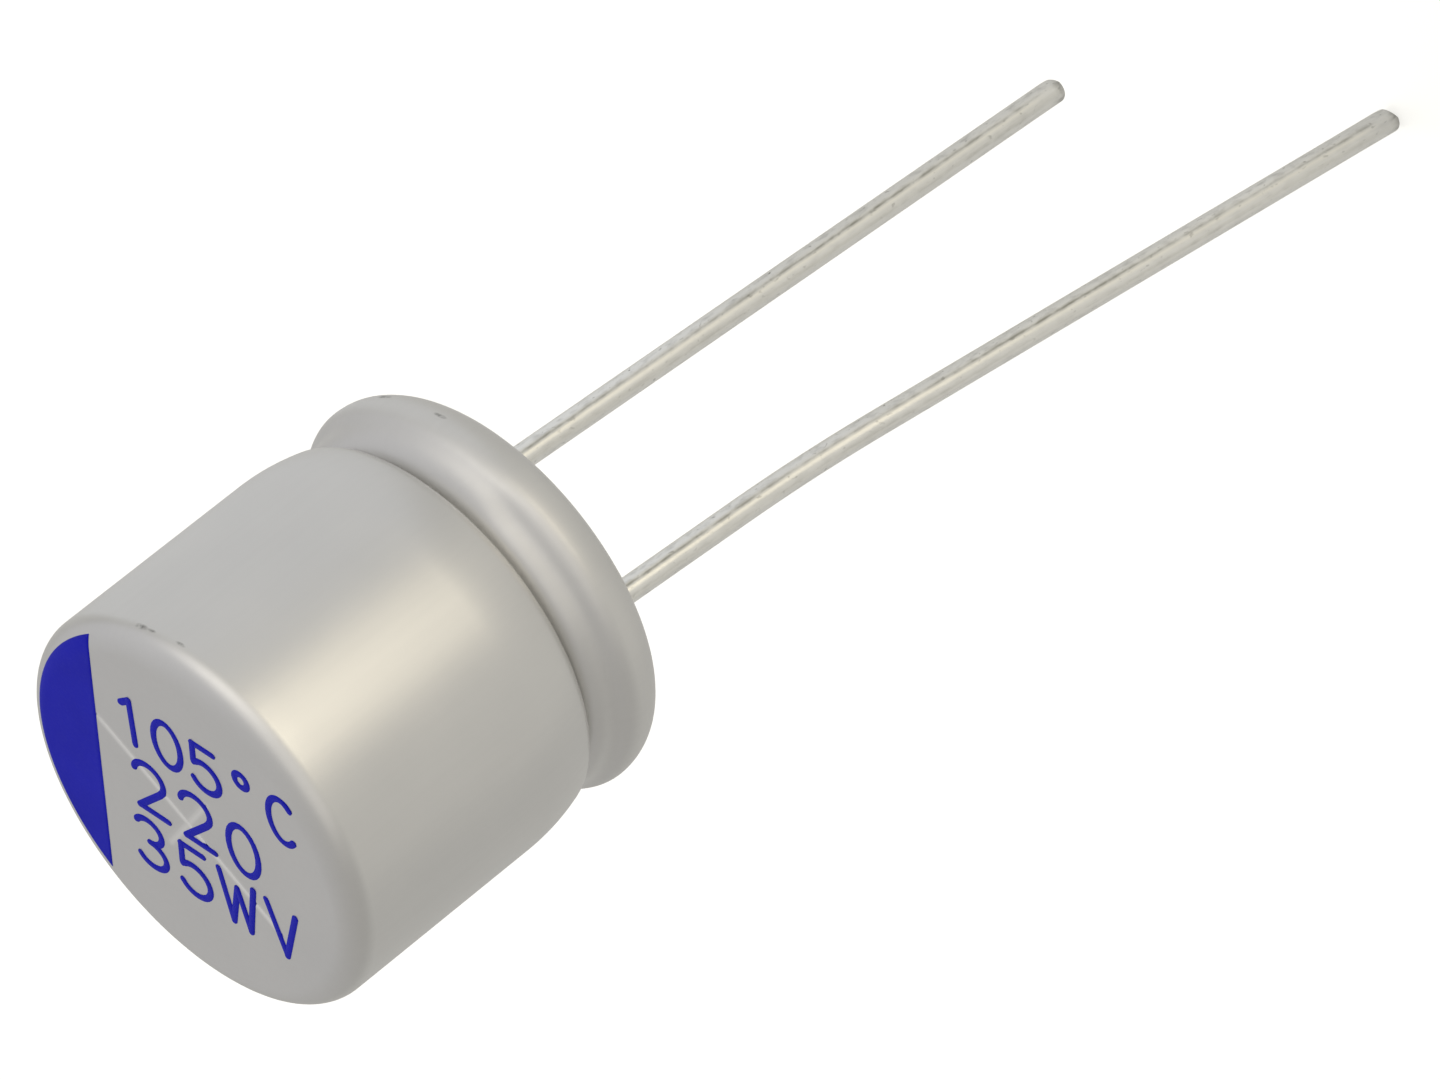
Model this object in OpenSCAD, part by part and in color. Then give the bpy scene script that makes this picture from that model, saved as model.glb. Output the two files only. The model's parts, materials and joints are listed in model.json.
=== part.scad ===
// Hybrid capacitor with radial leads: a drawn can rolled onto a rubber bung,
// two welded terminals and a wound element. Millimetres, closed end up.
// The origin is the middle of the seating plane, and the lead pair lies along X.

/* [Can] */
// Outside diameter of the can
can_d = 10; // [9.5:0.1:12.5]
// Height of the closed end above the seating plane
can_h = 9.8; // [8:0.1:13]
// Thickness of the drawn sheet
can_wall = 0.3; // [0.2:0.02:0.4]
// Inside radius of the shoulder round the closed end
shoulder_in_r = 0.35; // [0.2:0.05:0.8]

/* [Rolled groove] */
// Height of the groove above the seating plane
groove_z = 2.14; // [2:0.02:2.5]
// Depth of the groove below the can's outside
groove_depth = 0.72; // [0.5:0.02:0.8]
// Radius of the roller's nose, at the bottom of the groove
groove_nose_r = 0.04; // [0.02:0.02:0.2]
// Inside radius where the can's side turns into the groove
neck_in_r = 0.2; // [0.15:0.05:0.4]
// Radius of the slow sweep in which the can's side draws in above that turn
sweep_r = 5.3; // [3:0.1:7]
// Turn of the slow sweep, in degrees
sweep_turn = 15; // [8:1:20]

/* [Curled lip] */
// How much smaller the lip's radius is than the can's
lip_step = 0.01; // [0:0.01:0.1]
// Inside radius where the lip's side starts to taper
lip_round_in_r = 0.25; // [0.15:0.05:0.5]
// Inside radius of the lip's upper edge
lip_edge_in_r = 0.25; // [0.1:0.05:0.35]
// Turn of the lip's upper edge into the groove, in degrees
lip_edge_turn = 68; // [55:1:75]
// Depth of the soft waist round the tapered lip
waist_depth = 0.04; // [0.01:0.01:0.1]
// Inside radius of the curl
curl_in_r = 0.7; // [0.5:0.05:0.8]
// Width of the flat land that the curl stands on
land_w = 0.3; // [0.1:0.05:0.4]
// Turn of the curl's edge past its lowest point, in degrees
curl_turn = 20; // [5:5:40]

/* [Vent score] */
// Length of the long arm
score_len = 6.2; // [3:0.2:8]
// Length of the short arm
score_arm_len = 2.8; // [1:0.2:6]
// Width of both arms at the surface
score_w = 0.1; // [0.05:0.01:0.2]
// Direction of the long arm from the line through the leads, in degrees
score_turn = 143; // [0:1:180]

/* [Polarity mark] */
// Distance of the mark's straight edge from the axis
mark_edge = 2.58; // [1.5:0.1:3.5]
// Bare margin between the mark and the can's outside
mark_margin = 0.18; // [0.1:0.02:0.5]
// Thickness of the ink
mark_t = 0.02; // [0.01:0.01:0.05]
// Direction of the mark from the negative lead, in degrees
mark_turn = -7.4; // [-20:0.2:20]

/* [Sealing bung] */
// Height of the bung
bung_h = 3; // [2.6:0.1:4]
// Rubber left below each terminal boss
bung_web_h = 0.7; // [0.4:0.1:1.2]
// Clearance where pieces fit together
fit_gap = 0.01; // [0.005:0.005:0.03]

/* [Terminals] */
// Diameter of the round boss in the rubber
boss_d = 1.2; // [0.9:0.1:1.6]
// Height of the boss's welded taper
taper_h = 0.35; // [0.2:0.05:0.6]
// Weld bead round the wire at the foot of the taper
weld_w = 0.06; // [0.02:0.02:0.12]
// Height of the boss above the bung
boss_rise = 0.2; // [0.1:0.05:0.4]
// Width of the flat paddle
paddle_w = 1.6; // [1:0.1:2.2]
// Thickness of the flat paddle
paddle_t = 0.25; // [0.15:0.05:0.4]
// Length of the paddle inside the winding
paddle_len = 4; // [2:0.1:4.6]

/* [Leads] */
// Diameter of the tinned wire
lead_d = 0.6; // [0.45:0.05:0.8]
// Distance between the two leads at the bung
lead_pitch = 5; // [3.5:0.1:5.2]
// Straight wire below the bung before it bends
lead_stub = 0.05; // [0.02:0.01:0.2]
// Lean of both leads to the positive side, in degrees
lead_lean = 4.45; // [1:0.05:8]
// Radius of the bend under the bung
lead_bend_r = 8; // [4:0.5:12]
// Swell of the wire's radius where it is bent
bend_swell = 0.002; // [0.001:0.001:0.01]
// Straight wire between the positive lead's two bends
bow_start = 4; // [2:0.1:6]
// Turn of the positive lead's second bend, in degrees
bow_turn = 5.3; // [1:0.1:8]
// Radius of the positive lead's second bend
bow_r = 43; // [20:1:60]
// Depth of the positive lead's tip below the seating plane
anode_drop = 22.5; // [16:0.5:30]
// Depth of the negative lead's tip below the seating plane
cathode_drop = 18.8; // [10:0.2:28]
// Radius of the edge that the cutter rolls over at both tips
tip_r = 0.12; // [0.05:0.01:0.2]

/* [Winding] */
// Free height between the bung and the winding
winding_gap = 0.5; // [0.3:0.05:1]
// Free height between the winding and the closed end
headroom = 0.4; // [0.2:0.05:1]
// Free space between the taped winding and the can's side
side_gap = 0.15; // [0.05:0.05:0.4]
// Diameter of the hole left by the winding mandrel
mandrel_d = 0.9; // [0.6:0.1:1.4]
// Radial pitch of the foil packs that show at the winding's ends
turn_pitch = 0.55; // [0.4:0.05:0.8]
// Depth to which the paper stands past the foil
paper_margin = 0.12; // [0.05:0.01:0.2]
// Thickness of the stop tape
tape_t = 0.06; // [0.03:0.01:0.1]
// Bare winding above and below the tape
tape_inset = 0.8; // [0.3:0.1:1.5]

/* [Hidden] */
$fn = 64;
arc_steps = 10;
over = 1;         // how far a cut runs past the surface
bend_lap = 0.02;  // how far a bend runs over the straight wire at its ends

can_r = can_d / 2;
shoulder_r = shoulder_in_r + can_wall;
neck_r = neck_in_r + can_wall;
lip_round_r = lip_round_in_r + can_wall;
lip_edge_r = lip_edge_in_r + can_wall;
curl_r = curl_in_r + can_wall;
lip_r = can_r - lip_step;

function way(angle) = [cos(angle), sin(angle)];
function heading(from, to) = atan2(to.y - from.y, to.x - from.x);

// Centres of the arcs that the can's wall follows, as [radius, height].
// The neck touches the nose, and the sweep runs from the neck into the can's side.
shoulder_c = [can_r - shoulder_r, can_h - shoulder_r];
nose_c = [can_r - groove_depth + groove_nose_r, groove_z];
neck_x = can_r - sweep_r + (sweep_r - neck_r) * cos(sweep_turn);
neck_c = [neck_x, groove_z + sqrt(pow(neck_r + groove_nose_r, 2) - pow(neck_x - nose_c.x, 2))];
sweep_c = neck_c - (sweep_r - neck_r) * way(-sweep_turn);
lip_edge_c = nose_c - (lip_edge_r + groove_nose_r) * way(lip_edge_turn);
lip_round_c = [lip_r - lip_round_r, curl_r];
curl_c = [lip_r - curl_r, curl_r];
curl_edge_c = curl_c - [land_w, 0];

neck_turn = heading(neck_c, nose_c);
// The tapered side touches the lip's two arcs, and this is the heading of its outside.
taper_turn = heading(lip_round_c, lip_edge_c) - acos((lip_round_r - lip_edge_r) / norm(lip_edge_c - lip_round_c));

// Points of an arc; first = 1 leaves out a start point that the stretch before it ends on.
function arc(c, r, a0, a1, first = 1) =
    [for (i = [first:arc_steps]) let (a = a0 + (a1 - a0) * i / arc_steps) c + r * [cos(a), sin(a)]];

// The lip's tapered side: the line between its two arcs, with a cosine dip.
function waist(depth) =
    let (low = lip_round_c + (lip_round_r - depth) * way(taper_turn),
         high = lip_edge_c + (lip_edge_r - depth) * way(taper_turn))
    [for (i = [1:arc_steps])
        let (dip = waist_depth * (1 - cos(360 * i / arc_steps)) / 2)
        low + (high - low) * i / arc_steps - dip * way(taper_turn)];

// The wall from the curl's edge to the flat of the closed end, at a depth below its outside.
function wall_path(depth) = concat(
    arc(curl_edge_c, curl_r - depth, -90 - curl_turn, -90, 0),
    arc(curl_c, curl_r - depth, -90, 0, 0),
    arc(lip_round_c, lip_round_r - depth, 0, taper_turn),
    waist(depth),
    arc(lip_edge_c, lip_edge_r - depth, taper_turn, lip_edge_turn),
    arc(nose_c, groove_nose_r + depth, lip_edge_turn + 180, neck_turn + 180),
    arc(neck_c, neck_r - depth, neck_turn, -sweep_turn),
    arc(sweep_c, sweep_r - depth, -sweep_turn, 0),
    arc(shoulder_c, shoulder_r - depth, 0, 90, 0));

function reversed(list) = [for (i = [len(list) - 1:-1:0]) list[i]];

// Heights of the inner pieces.
bung_skin = can_wall + fit_gap;
bung_face_z = wall_path(bung_skin)[0].y;
bung_top_z = bung_face_z + bung_h;
boss_z = bung_face_z + bung_web_h;
boss_top_z = bung_top_z + boss_rise;
winding_z = bung_top_z + winding_gap;
winding_h = can_h - can_wall - headroom - winding_z;
winding_r = can_r - can_wall - side_gap - tape_t - fit_gap;
tape_h = winding_h - 2 * tape_inset;
boss_r = boss_d / 2;
weld_r = lead_d / 2 + weld_w;
lead_x = lead_pitch / 2;
bend_z = bung_face_z - lead_stub;

// Can

// A V groove along X, cut into the surface it is centred on.
module score_arm(length) {
    rotate([45, 0, 0])
        cube([length, score_w / sqrt(2), score_w / sqrt(2)], center = true);
}

module case() {
    color("#c2bfb8") difference() {
        rotate_extrude()
            polygon(concat(wall_path(0), [[0, can_h], [0, can_h - can_wall]], reversed(wall_path(can_wall))));
        translate([0, 0, can_h]) rotate(score_turn) {
            score_arm(score_len);
            rotate(90) score_arm(score_arm_len);
        }
    }
}

// Ink over the flat of the closed end and part of the shoulder, cut off along a straight edge.
module polarity_mark() {
    under = arc(shoulder_c, shoulder_r, 0, 90, 0);
    upper = arc(shoulder_c, shoulder_r + mark_t, 0, 90, 0);
    color("#2a2aa8") intersection() {
        rotate_extrude()
            polygon(concat(under, [[0, can_h], [0, can_h + mark_t]], reversed(upper)));
        cylinder(r = can_r - mark_margin, h = can_h + over);
        rotate(mark_turn) translate([mark_edge, -can_r, 0]) cube([can_r, can_d, can_h + over]);
    }
}

// Seal

// The hole for one terminal: wire, welded taper and boss, each with its clearance.
module terminal_hole() {
    cylinder(r = lead_d / 2 + fit_gap, h = boss_z + taper_h / 2);
    translate([0, 0, boss_z - fit_gap])
        cylinder(r1 = weld_r + fit_gap, r2 = boss_r + fit_gap, h = taper_h);
    translate([0, 0, boss_z + taper_h - fit_gap])
        cylinder(r = boss_r + fit_gap, h = bung_top_z + over - boss_z - taper_h);
}

module sealing_bung() {
    cavity = concat([[0, bung_face_z]], wall_path(bung_skin), [[0, can_h - bung_skin]]);
    color("#33312f") difference() {
        intersection() {
            rotate_extrude() polygon(cavity);
            cylinder(r = can_r, h = bung_top_z);
        }
        for (side = [-1, 1]) translate([side * lead_x, 0, 0]) terminal_hole();
    }
}

// Terminals

module tab(side) {
    color("#c9cacb") translate([side * lead_x, 0, 0]) {
        translate([0, 0, boss_z]) cylinder(r1 = weld_r, r2 = boss_r, h = taper_h);
        translate([0, 0, boss_z + taper_h]) cylinder(r = boss_r, h = boss_top_z - boss_z - taper_h);
        translate([-paddle_t / 2, -paddle_w / 2, boss_top_z])
            cube([paddle_t, paddle_w, winding_z - boss_top_z + paddle_len]);
    }
}

module anode_tab() { tab(-1); }

module cathode_tab() { tab(1); }

// Leads

// A straight stretch of wire that heads down, then what follows it.
module straight(length) {
    translate([0, 0, -length]) {
        cylinder(d = lead_d, h = length);
        children();
    }
}

// The last straight stretch of a wire that heads down, with its tip's edge rolled over.
module cut_end(length) {
    rotate_extrude()
        polygon(concat([[0, 0], [0, -length]],
                       arc([lead_d / 2 - tip_r, tip_r - length], tip_r, -90, 0, 0), [[lead_d / 2, 0]]));
}

// A bend of the wire to the positive side, lapped over the stretches it joins, then what follows it.
module bend(radius, turn) {
    lap_turn = atan(bend_lap / radius);
    translate([-radius, 0, 0]) {
        rotate([-90, 0, 0]) rotate(-lap_turn) rotate_extrude(angle = turn + 2 * lap_turn)
            translate([radius, 0]) circle(r = lead_d / 2 + bend_swell);
        rotate([0, turn, 0]) translate([radius, 0, 0]) children();
    }
}

// Depth below the seating plane at which each lead's last straight stretch starts.
lean_z = lead_bend_r * sin(lead_lean) - bend_z;
anode_turn = lead_lean + bow_turn;
bow_z = lean_z + bow_start * cos(lead_lean) + bow_r * (sin(anode_turn) - sin(lead_lean));

module anode_lead() {
    color("#bdbab0") translate([-lead_x, 0, boss_z])
        straight(boss_z - bend_z)
        bend(lead_bend_r, lead_lean)
        straight(bow_start)
        bend(bow_r, bow_turn)
        cut_end((anode_drop - bow_z) / cos(anode_turn));
}

module cathode_lead() {
    color("#bdbab0") translate([lead_x, 0, boss_z])
        straight(boss_z - bend_z)
        bend(lead_bend_r, lead_lean)
        cut_end((cathode_drop - lean_z) / cos(lead_lean));
}

// Winding

// Sunk rings between the paper edges at one end of the winding.
module foil_rings(z) {
    for (r = [mandrel_d / 2 + turn_pitch / 2 : turn_pitch : winding_r - turn_pitch])
        translate([0, 0, z]) difference() {
            cylinder(r = r + turn_pitch / 2, h = 2 * paper_margin, center = true);
            cylinder(r = r, h = 2 * paper_margin + over, center = true);
        }
}

module wound_element() {
    slot_t = paddle_t + 2 * fit_gap;
    slot_w = paddle_w + 2 * fit_gap;
    color("#8d8065") difference() {
        translate([0, 0, winding_z]) cylinder(r = winding_r, h = winding_h);
        translate([0, 0, winding_z - over]) cylinder(d = mandrel_d, h = winding_h + 2 * over);
        for (side = [-1, 1])
            translate([side * lead_x - slot_t / 2, -slot_w / 2, winding_z - over])
                cube([slot_t, slot_w, paddle_len + fit_gap + over]);
        foil_rings(winding_z);
        foil_rings(winding_z + winding_h);
    }
}

module stop_tape() {
    color("#d9b877") translate([0, 0, winding_z + tape_inset]) difference() {
        cylinder(r = winding_r + fit_gap + tape_t, h = tape_h);
        translate([0, 0, -over]) cylinder(r = winding_r + fit_gap, h = tape_h + 2 * over);
    }
}

case();
sealing_bung();
anode_tab();
cathode_tab();
anode_lead();
cathode_lead();
wound_element();
stop_tape();
polarity_mark();
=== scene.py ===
# %% [markdown]
# # A hybrid capacitor, dressed for a photograph
# The part is a small drawn aluminium can, rolled shut over a rubber bung, with two tinned
# wires and a few blue marks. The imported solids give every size; this lesson gives the looks.
# Lengths are written in millimetres and turned into metres at the moment a mesh is made.

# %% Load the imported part
import json
import math

import bpy
import numpy as np
from mathutils import Matrix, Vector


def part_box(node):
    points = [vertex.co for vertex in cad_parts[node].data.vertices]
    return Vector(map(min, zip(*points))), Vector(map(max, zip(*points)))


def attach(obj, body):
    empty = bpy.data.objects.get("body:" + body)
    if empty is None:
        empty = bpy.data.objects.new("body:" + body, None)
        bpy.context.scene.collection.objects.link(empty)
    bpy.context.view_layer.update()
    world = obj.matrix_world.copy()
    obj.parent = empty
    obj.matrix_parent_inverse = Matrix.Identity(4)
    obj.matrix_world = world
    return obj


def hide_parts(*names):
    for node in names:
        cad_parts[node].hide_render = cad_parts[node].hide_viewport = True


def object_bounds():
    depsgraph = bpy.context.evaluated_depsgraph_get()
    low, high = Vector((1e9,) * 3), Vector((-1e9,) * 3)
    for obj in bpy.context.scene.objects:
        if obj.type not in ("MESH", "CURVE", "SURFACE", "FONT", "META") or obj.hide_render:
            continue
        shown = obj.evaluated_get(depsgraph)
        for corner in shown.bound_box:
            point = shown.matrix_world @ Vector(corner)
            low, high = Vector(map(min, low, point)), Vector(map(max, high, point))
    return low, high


MM = 0.001
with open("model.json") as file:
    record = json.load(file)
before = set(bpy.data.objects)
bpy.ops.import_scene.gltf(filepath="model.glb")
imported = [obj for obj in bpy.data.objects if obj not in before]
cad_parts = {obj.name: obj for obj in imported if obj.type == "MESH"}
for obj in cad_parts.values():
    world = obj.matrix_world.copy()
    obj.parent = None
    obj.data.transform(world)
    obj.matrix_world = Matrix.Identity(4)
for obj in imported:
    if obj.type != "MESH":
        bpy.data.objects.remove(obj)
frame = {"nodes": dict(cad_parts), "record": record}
cad_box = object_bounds()
nodes = frame["nodes"]
mounts = {mount["name"]: mount for mount in frame["record"]["mounts"]}
print("nodes:", sorted(nodes))
print("box in mm:", [[round(x / MM, 2) for x in corner] for corner in cad_box])

# %% [markdown]
# ## The camera first
# The photograph looks down on the closed end from a long way off, with the camera turned so
# that the leads run to the upper right. A camera could be placed by eye, but here three
# directions are worked out from a heading, a tilt and a roll, and they become the columns of
# the camera's matrix. The place of the object's origin in the image sets the framing.

# %% Place the camera
image_w, image_h = 1440, 1080
lens_mm, sensor_mm = 300, 36
nearest, farthest = 10, 100000
heading = math.radians(230)
tilt = math.radians(28)
roll = math.radians(38.76)
distance = 260.4
origin_px = (508.7, 569.1)

towards = np.array([math.cos(heading), math.sin(heading), 0])
beside = np.array([-math.sin(heading), math.cos(heading), 0])
upwards = np.array([0, 0, 1])


def stage_point(front, right, up):
    """A point so far towards the camera, to the viewer's right and above the seating plane."""
    return front * towards + right * beside + up * upwards


back = stage_point(math.cos(tilt), 0, math.sin(tilt))
leads_way = stage_point(math.sin(tilt), 0, -math.cos(tilt))
image_right = leads_way * math.cos(roll) - beside * math.sin(roll)
image_up = leads_way * math.sin(roll) + beside * math.cos(roll)
px_per_slope = lens_mm / sensor_mm * image_w
across = (origin_px[0] - image_w / 2) / px_per_slope * distance
above = (image_h / 2 - origin_px[1]) / px_per_slope * distance
eye = distance * back - across * image_right - above * image_up

camera = bpy.data.objects.new("camera", bpy.data.cameras.new("camera"))
camera.data.lens = lens_mm
camera.data.sensor_width = sensor_mm
camera.data.clip_start, camera.data.clip_end = nearest * MM, farthest * MM
turned = Matrix(np.column_stack([image_right, image_up, back]).tolist()).to_4x4()
camera.matrix_world = Matrix.Translation((eye * MM).tolist()) @ turned
bpy.context.scene.collection.objects.link(camera)
bpy.context.scene.camera = camera
print("camera at, mm:", np.round(eye, 1))

# %% [markdown]
# ## Writing shaders as arithmetic
# A finish is a web of nodes. Linking them by hand hides the idea, so one small class wraps a
# socket and turns + - * / into Math nodes, and a second one adds any other node: its settings
# are set first, then its sockets are filled with numbers or links.

# %% The shader language


class Value:
    """A socket of a node tree. Arithmetic on it adds a Math node and gives that node's result."""

    def __init__(self, finish, socket):
        self.finish = finish
        self.socket = socket

    def math(self, operation, first, second, clamp=False):
        settings = {"operation": operation, "use_clamp": clamp}
        return self.finish.node("ShaderNodeMath", settings, {0: first, 1: second})

    def __add__(self, other):
        return self.math("ADD", self, other)

    def __radd__(self, other):
        return self.math("ADD", other, self)

    def __sub__(self, other):
        return self.math("SUBTRACT", self, other)

    def __rsub__(self, other):
        return self.math("SUBTRACT", other, self)

    def __mul__(self, other):
        return self.math("MULTIPLY", self, other)

    def __rmul__(self, other):
        return self.math("MULTIPLY", other, self)

    def __truediv__(self, other):
        return self.math("DIVIDE", self, other)

    def clamped(self):
        """The value held between 0 and 1."""
        return self.math("ADD", self, 0, clamp=True)

    def at_least(self, other):
        """The larger of two values."""
        return self.math("MAXIMUM", self, other)


class Finish:
    """A node tree that is written one call at a time."""

    def __init__(self, tree):
        self.tree = tree
        self.tree.nodes.clear()

    def node(self, kind, settings, sockets, output=0):
        """Adds a node of a kind, sets its settings, fills its sockets and gives one output."""
        made = self.tree.nodes.new(kind)
        for name, value in settings.items():
            setattr(made, name, value)
        for name, value in sockets.items():
            if isinstance(value, Value):
                self.tree.links.new(value.socket, made.inputs[name])
            else:
                made.inputs[name].default_value = value
        if made.outputs:
            return Value(self, made.outputs[output])

    def place(self):
        """Object coordinates: where a point lies on its piece, in metres."""
        return self.node("ShaderNodeTexCoord", {}, {}, "Object")

    def stored(self, name, output="Fac"):
        """The values that the mesh carries for its points under a name."""
        return self.node("ShaderNodeAttribute", {"attribute_name": name}, {}, output)

    def noise(self, where, scale, detail=2):
        """Cloudy values round one half; the scale says how many clouds fit in a unit of length."""
        return self.node("ShaderNodeTexNoise", {}, {"Vector": where, "Scale": scale, "Detail": detail})

    def stretched(self, where, scale):
        """The coordinates times a scale along each axis, so that a pattern runs long where it is small."""
        return self.node("ShaderNodeMapping", {}, {"Vector": where, "Scale": scale})

    def mixed(self, share, first, second):
        """A colour that goes from the first to the second as the share goes from 0 to 1.

        A Mix node has sockets for every kind of data: 6 and 7 take colours, and output 2 gives one.
        """
        return self.node("ShaderNodeMix", {"data_type": "RGBA"}, {0: share, 6: first, 7: second}, 2)

    def bump(self, height, rise):
        """The normal of a surface whose height rises by that many metres as the value goes to 1."""
        return self.node("ShaderNodeBump", {}, {"Height": height, "Distance": rise, "Strength": 1})

    def surface(self, **sockets):
        """Ends the tree in one Principled shader, with its sockets named by words and underscores."""
        named = {name.replace("_", " "): value for name, value in sockets.items()}
        shader = self.node("ShaderNodeBsdfPrincipled", {}, named)
        self.node("ShaderNodeOutputMaterial", {}, {"Surface": shader})


def new_finish(name):
    """An empty material with that name and the finish that writes its nodes."""
    material = bpy.data.materials.new(name)
    material.use_nodes = True
    return material, Finish(material.node_tree)


print("shader language ready")

# %% [markdown]
# ## Putting numpy grids into meshes
# Every new piece is a grid of points. A band of quads joins one closed ring of points to the
# next, and a sheet of quads fills a rectangular grid; both are index arithmetic on whole
# arrays. A slab closes two such grids to a thin solid. One function then makes the object,
# smooths it except at sharp folds, and lets it ride on the part's only body.

# %% Mesh helpers
sharp_fold = math.radians(38)


def bands(rings):
    """Quads between neighbouring closed rings: this point, the next one round, and both one ring on."""
    ahead = np.roll(rings, -1, axis=1)
    quads = np.stack([rings[:-1], ahead[:-1], ahead[1:], rings[1:]], axis=-1)
    return quads.reshape(-1, 4)


def sheet(grid):
    """Quads that fill a rectangular grid of point numbers, facing up where columns run with +X."""
    quads = np.stack([grid[:-1, :-1], grid[:-1, 1:], grid[1:, 1:], grid[1:, :-1]], axis=-1)
    return quads.reshape(-1, 4)


def rim_of(grid):
    """The point numbers round the edge of a rectangular grid, anticlockwise from its first corner."""
    return np.concatenate([grid[0, :-1], grid[:-1, -1], grid[-1, :0:-1], grid[:0:-1, 0]])


def slab(upper, lower, first=0, looped=False):
    """Points and quads of a thin closed slab between two grids of the same shape (rows, columns, 3).

    The rows of a looped slab run round to the first row again, so that it is a flat ring.
    """
    rows, columns = upper.shape[:2]
    top = np.arange(rows * columns).reshape(rows, columns) + first
    bottom = top + rows * columns
    if looped:
        walls = [bands(np.stack([top[:, 0], bottom[:, 0]])), bands(np.stack([bottom[:, -1], top[:, -1]]))]
        top, bottom = (np.concatenate([grid, grid[:1]]) for grid in (top, bottom))
    else:
        walls = [bands(np.stack([rim_of(bottom), rim_of(top)]))]
    quads = np.concatenate([sheet(top), sheet(bottom)[:, ::-1], *walls])
    return np.concatenate([upper.reshape(-1, 3), lower.reshape(-1, 3)]), quads


def make_piece(name, points, quads, material, slot, replaced=()):
    """A smooth mesh from points in millimetres, riding on the part and standing for CAD nodes."""
    mesh = bpy.data.meshes.new(name)
    mesh.from_pydata((points * MM).tolist(), [], quads.tolist())
    mesh.polygons.foreach_set("use_smooth", np.ones(len(mesh.polygons), bool))
    mesh.set_sharp_from_angle(angle=sharp_fold)
    mesh.materials.append(material)
    piece = bpy.data.objects.new(name, mesh)
    bpy.context.scene.collection.objects.link(piece)
    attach(piece, "root")
    if replaced:
        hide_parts(*replaced)
    print(name, "has", len(points), "points and", len(quads), "quads")
    return piece


def point_values(piece, name, values):
    """Stores one number or one vector for each point, for a shader to read by name."""
    kind, field = ("FLOAT", "value") if values.ndim == 1 else ("FLOAT_VECTOR", "vector")
    layer = piece.data.attributes.new(name, kind, "POINT")
    layer.data.foreach_set(field, values.astype(np.float32).ravel())


print("folds stay sharp past, degrees:", round(math.degrees(sharp_fold)))

# %% [markdown]
# ## The satin of drawn aluminium
# The can is pressed from soft sheet, so its skin is satin: a metal with a broad gloss, faint
# lines along the draw and a fine grain, a little duller where it was rolled. The skin is noise
# on object coordinates, stretched along the axis for the draw lines. A few rubs darken the
# edges where cans knock together in the feeder: each is a spot that fades with distance, broken
# up by noise. The vent's score and a band beside it get a painted highlight, a near-white
# colour; the mesh says where it is.

# %% Drawn aluminium
can_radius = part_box("case")[1].x / MM
can_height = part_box("case")[1].z / MM
rolled_top, rolled_fade = 2.2, 0.6
rub_squash = 3
rubs = [
    # heading in degrees, height, length of each rub
    (280.4, 9.27, 0.24),
    (276.7, 9.26, 0.15),
    (267.2, 9.2, 0.16),
    (297, 0.72, 0.3),
    (274, 0.8, 0.22),
]


def drawn_aluminium():
    """Satin metal: cloudy colour, draw lines and grain, a painted highlight on the cut, dark rubs and a
    duller rolled lip.
    """
    material, f = new_finish("drawn_aluminium")
    dull, clear, lined = (0.68, 0.675, 0.66, 1), (0.74, 0.73, 0.71, 1), (0.6, 0.595, 0.58, 1)
    # the first colour here is a painted highlight for the vent's cut; the second darkens the rubs
    painted_glint, grime = (0.98, 0.97, 0.94, 1), (0.2, 0.2, 0.19, 1)
    where = f.place()
    lines = f.noise(f.stretched(where, (1, 1, 0.05)), 6500, 3)
    clouds = f.noise(where, 420)
    grain = f.noise(where, 24000, 3)
    speckle = f.noise(where, 9000)
    squashed = f.stretched(where, (1, 1, rub_squash))
    rubbed = 0
    for turn, height, size in rubs:
        angle = math.radians(turn)
        x, y = can_radius * math.cos(angle), can_radius * math.sin(angle)
        spot = MM * np.array([x, y, rub_squash * height])
        gap = f.node("ShaderNodeVectorMath", {"operation": "DISTANCE"}, {0: squashed, 1: spot}, "Value")
        rubbed = (1 - gap / (size * MM)).clamped().at_least(rubbed)
    rubbed = (rubbed * 3 * (speckle - 0.25)).clamped()
    skin = f.mixed(clouds, dull, clear)
    skin = f.mixed((lines - 0.4) * 0.2, skin, lined)
    # painted highlight: the cut and a band beside it are made near white
    skin = f.mixed(f.stored("score"), skin, painted_glint)
    skin = f.mixed(rubbed, skin, grime)
    height_up = f.node("ShaderNodeSeparateXYZ", {}, {0: where}, "Z")
    rolled = ((rolled_top * MM - height_up) / (rolled_fade * MM)).clamped()
    rough = 0.33 + 0.06 * clouds + 0.04 * lines + 0.2 * rubbed + 0.09 * rolled
    uneven = 0.4 * lines + 0.6 * grain
    f.surface(Base_Color=skin, Metallic=1, Roughness=rough, Normal=f.bump(uneven, 0.0008 * MM))
    return material


aluminium = drawn_aluminium()
print("finish:", aluminium.name)

# %% [markdown]
# ## The can's wall
# The can is one sheet that was drawn into a cup, rolled in at a groove and curled over at its
# mouth. It could be made with a Spin, but a profile written as touching arcs stays exact: two
# arcs that meet share a tangent, so the wall has no kinks, and its tightest bend is where the
# roller's nose bit. The same profile at the sheet's thickness gives the inside.

# %% The profile of the wall
can_wall = 0.3
shoulder_radius = 0.65
groove_z, groove_depth, nose_radius = 2.14, 0.72, 0.04
neck_radius, sweep_radius, sweep_turn = 0.5, 5.3, 15
lip_step = 0.01
lip_radius = can_radius - lip_step
lip_round_radius, lip_edge_radius, lip_edge_turn = 0.55, 0.55, 68
waist_depth = 0.04
curl_radius, land_width, curl_turn = 1.0, 0.3, 20
same_place = 1e-6


def way(turn):
    """The unit vector at a turn in degrees: its cosine and its sine."""
    return np.array([math.cos(math.radians(turn)), math.sin(math.radians(turn))])


def turn_to(start, end):
    """The turn in degrees of the line from one point to another."""
    return math.degrees(math.atan2(end[1] - start[1], end[0] - start[0]))


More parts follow.
